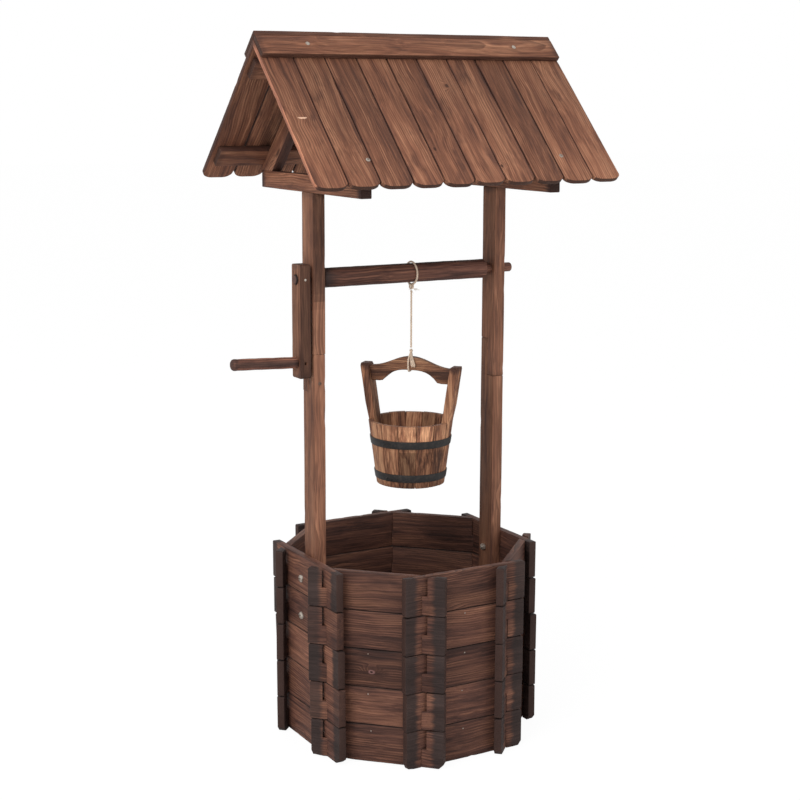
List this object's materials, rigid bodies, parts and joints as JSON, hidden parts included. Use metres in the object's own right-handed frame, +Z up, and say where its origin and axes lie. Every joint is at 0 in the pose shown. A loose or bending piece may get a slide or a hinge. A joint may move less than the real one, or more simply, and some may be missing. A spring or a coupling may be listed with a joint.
{
  "type": "wishing well planter",
  "caption": "Octagonal log-cabin wooden planter tub with posts, a plank gable roof and a hand windlass that raises a coopered bucket on a rope.",
  "frame": {"origin": "on the ground, under the middle of the tub", "axes": "+X along the windlass away from the crank, +Y towards the back, +Z up"},
  "size_m": [0.5748, 0.428, 1.13],
  "materials": {
    "dark_pine": "scorched and brown-stained pine, satin",
    "roof_pine": "scorched and red-brown stained pine, satin",
    "post_pine": "lightly scorched brown pine, satin",
    "bucket_pine": "lightly scorched honey pine, satin",
    "iron": "black painted strip",
    "steel": "zinc-plated",
    "jute": "twisted natural jute"
  },
  "bodies": {
    "well": {"wall_right": "dark_pine", "wall_back_right": "dark_pine", "wall_back": "dark_pine", "wall_back_left": "dark_pine", "wall_left": "dark_pine", "wall_front_left": "dark_pine", "wall_front": "dark_pine", "wall_front_right": "dark_pine", "floor_bearers": "dark_pine", "floor_slats": "dark_pine", "lower_post_left": "post_pine", "lower_post_right": "post_pine", "upper_post_left": "post_pine", "upper_post_right": "post_pine", "tie_beam_left": "roof_pine", "tie_beam_right": "roof_pine", "rafter_left_front": "roof_pine", "rafter_left_back": "roof_pine", "rafter_right_front": "roof_pine", "rafter_right_back": "roof_pine", "roof_battens": "roof_pine", "ridge_cap_front": "roof_pine", "ridge_cap_back": "roof_pine", "roof_board_front_1": "roof_pine", "roof_board_front_2": "roof_pine", "roof_board_front_3": "roof_pine", "roof_board_front_4": "roof_pine", "roof_board_front_5": "roof_pine", "roof_board_front_6": "roof_pine", "roof_board_front_7": "roof_pine", "roof_board_front_8": "roof_pine", "roof_board_front_9": "roof_pine", "roof_board_front_10": "roof_pine", "roof_board_back_1": "roof_pine", "roof_board_back_2": "roof_pine", "roof_board_back_3": "roof_pine", "roof_board_back_4": "roof_pine", "roof_board_back_5": "roof_pine", "roof_board_back_6": "roof_pine", "roof_board_back_7": "roof_pine", "roof_board_back_8": "roof_pine", "roof_board_back_9": "roof_pine", "roof_board_back_10": "roof_pine", "post_bolts": "steel", "wood_screws": "steel"},
    "windlass": {"axle": "dark_pine", "crank_arm": "dark_pine", "crank_peg": "dark_pine", "crank_pins": "steel"},
    "rope_ring": {"rope_loop": "jute"},
    "rope_fall": {"rope_line": "jute"},
    "rope_end": {"rope_knot": "jute"},
    "bucket": {"rope_hitch": "jute", "bucket_staves": "bucket_pine", "bucket_floor": "bucket_pine", "bucket_hoop_upper": "iron", "bucket_hoop_lower": "iron", "bucket_upright_left": "bucket_pine", "bucket_upright_right": "bucket_pine", "bucket_bow_handle": "bucket_pine"}
  },
  "joints": [
    {"name": "windlass_turn", "type": "hinge", "parent": "well", "child": "windlass", "pos_m": [0, 0, 0.7555], "axis": [1, 0, 0], "range_deg": [0, 270]},
    {"name": "bucket_swing", "type": "hinge", "parent": "well", "child": "rope_ring", "pos_m": [0.008, 0, 0.7555], "axis": [1, 0, 0], "range_deg": [-45, 45]},
    {"name": "bucket_sway", "type": "hinge", "parent": "rope_ring", "child": "rope_fall", "pos_m": [0.008, 0, 0.7317], "axis": [0, 1, 0], "range_deg": [-12, 12]},
    {"name": "bucket_lift", "type": "slide", "parent": "rope_fall", "child": "rope_end", "axis": [0, 0, 1], "range_m": [0, 0.083], "deforming": ["rope_line"]},
    {"name": "bucket_spin", "type": "hinge", "parent": "rope_end", "child": "bucket", "pos_m": [0.008, 0, 0.6288], "axis": [0, 0, 1], "range_deg": [-90, 90]}
  ],
  "couplings": [
    {"joint": "bucket_lift", "follows": "windlass_turn", "m_per_rad": 0.0175}
  ]
}
